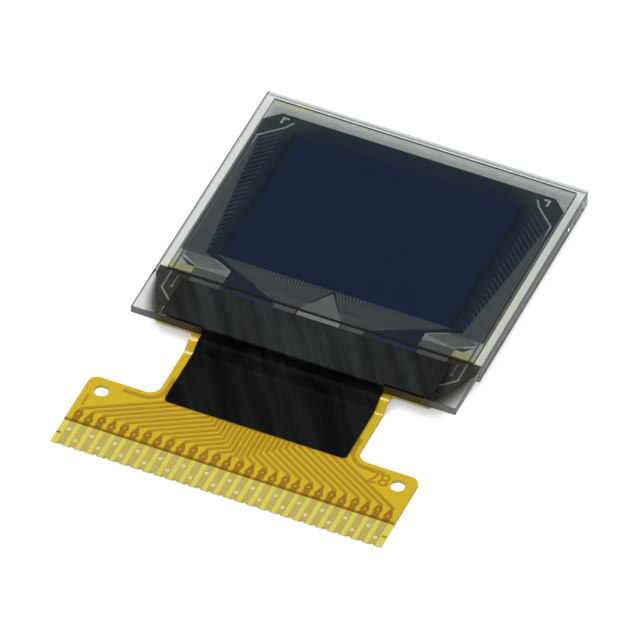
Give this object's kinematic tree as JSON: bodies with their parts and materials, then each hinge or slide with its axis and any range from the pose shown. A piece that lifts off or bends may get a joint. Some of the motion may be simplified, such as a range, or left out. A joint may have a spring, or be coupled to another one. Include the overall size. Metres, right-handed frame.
{
  "type": "small oled module",
  "caption": "Small passive-matrix OLED panel module: glass panel with polarizer, driver chip bonded under the ledge, black shield tape and a short flexible solder tail.",
  "frame": {"origin": "middle of the module's outline, on the surface it lies on", "axes": "+X from the first solder pad to the last, +Y from the tail to the panel, +Z out of the screen"},
  "size_m": [0.0186, 0.0282, 0.0012],
  "materials": {
    "polarizer": "smooth tinted film",
    "panel_glass": "clear polished",
    "anode": "clear conductor",
    "organic": "smooth",
    "cathode": "evaporated",
    "bank": "smooth",
    "glass_lead": "thin metal",
    "supply_pad": "thin metal",
    "pale_lead": "thin metal",
    "seal": "cured adhesive",
    "desiccant": "matt",
    "silicon": "ground silicon",
    "bond_film": "cured",
    "coating": "cured resin",
    "base_film": "smooth film",
    "coverlay": "smooth film",
    "copper": "rolled",
    "tinned": "thin plating",
    "tape": "satin"
  },
  "bodies": {
    "root": {"polarizer_film": "polarizer", "substrate_glass": "panel_glass", "anode_columns": "anode", "organic_layer": "organic", "cathode_rows": "cathode", "bank_layer": "bank", "column_leads_left": "glass_lead", "column_leads_right": "glass_lead", "row_leads_left": "glass_lead", "row_leads_right": "glass_lead", "supply_pad_left": "supply_pad", "supply_pad_right": "supply_pad", "ground_pad": "pale_lead", "guard_lead_left": "pale_lead", "guard_lead_right": "pale_lead", "corner_marks": "pale_lead", "test_stubs": "pale_lead", "seal_bead": "seal", "desiccant_sheet": "desiccant", "cap_glass": "panel_glass", "driver_chip": "silicon", "chip_bond_film": "bond_film", "input_leads": "glass_lead", "ledge_coating": "coating", "tail_bond_film": "bond_film", "tail_base_film": "base_film", "tail_tracks": "copper", "tail_vias": "copper", "front_coverlay": "coverlay", "back_coverlay": "coverlay", "front_solder_pads": "tinned", "back_solder_pads": "tinned", "corner_guard_left": "copper", "corner_guard_right": "copper", "edge_marks": "copper", "shield_tape": "tape"}
  },
  "joints": []
}
